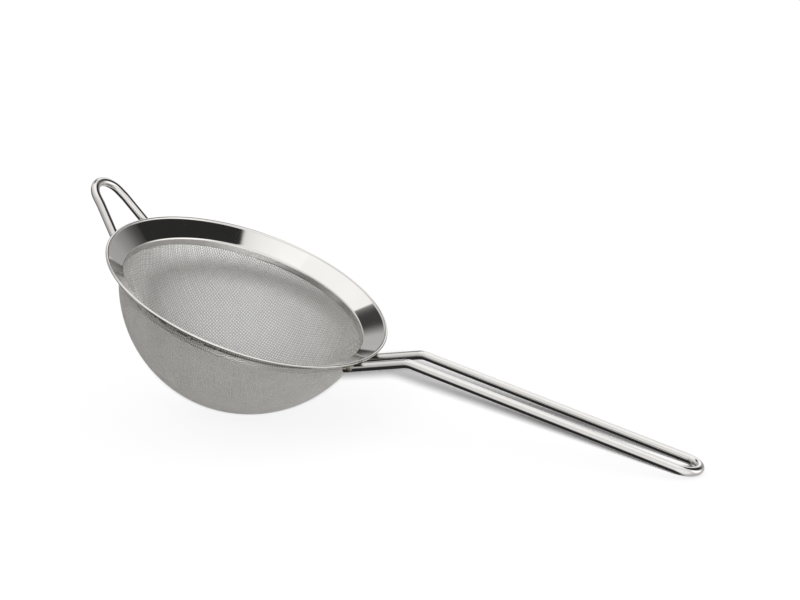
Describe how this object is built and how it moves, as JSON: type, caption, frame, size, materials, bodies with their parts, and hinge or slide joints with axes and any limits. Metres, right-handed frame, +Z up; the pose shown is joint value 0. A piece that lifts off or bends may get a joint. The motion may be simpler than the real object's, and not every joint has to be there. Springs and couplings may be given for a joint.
{
  "type": "soil sieve",
  "caption": "Round hand sieve: a deep woven wire bowl in a flared sheet rim, with a long doubled wire handle and a short wire rest loop opposite it.",
  "frame": {"origin": "the point where the bottom of the bowl touches the surface that the sieve lies on", "axes": "+Z up, +X towards the hand end of the handle, so X runs along the sieve; the rim's axis leans towards +X as the sieve rests on its bowl and on the end of its handle"},
  "size_m": [0.3561, 0.16, 0.1212],
  "materials": {
    "rim_sheet": "stainless steel sheet, spun and mirror polished",
    "wire_cloth": "plain woven stainless steel wire, bright drawn",
    "bent_wire": "round stainless steel wire, polished",
    "weld": "ground weld, satin"
  },
  "bodies": {
    "root": {"flared_rim": "rim_sheet", "wire_bowl": "wire_cloth", "handle_wire": "bent_wire", "rest_loop_wire": "bent_wire", "handle_weld_left": "weld", "handle_weld_right": "weld", "loop_weld_left": "weld", "loop_weld_right": "weld"}
  },
  "joints": []
}
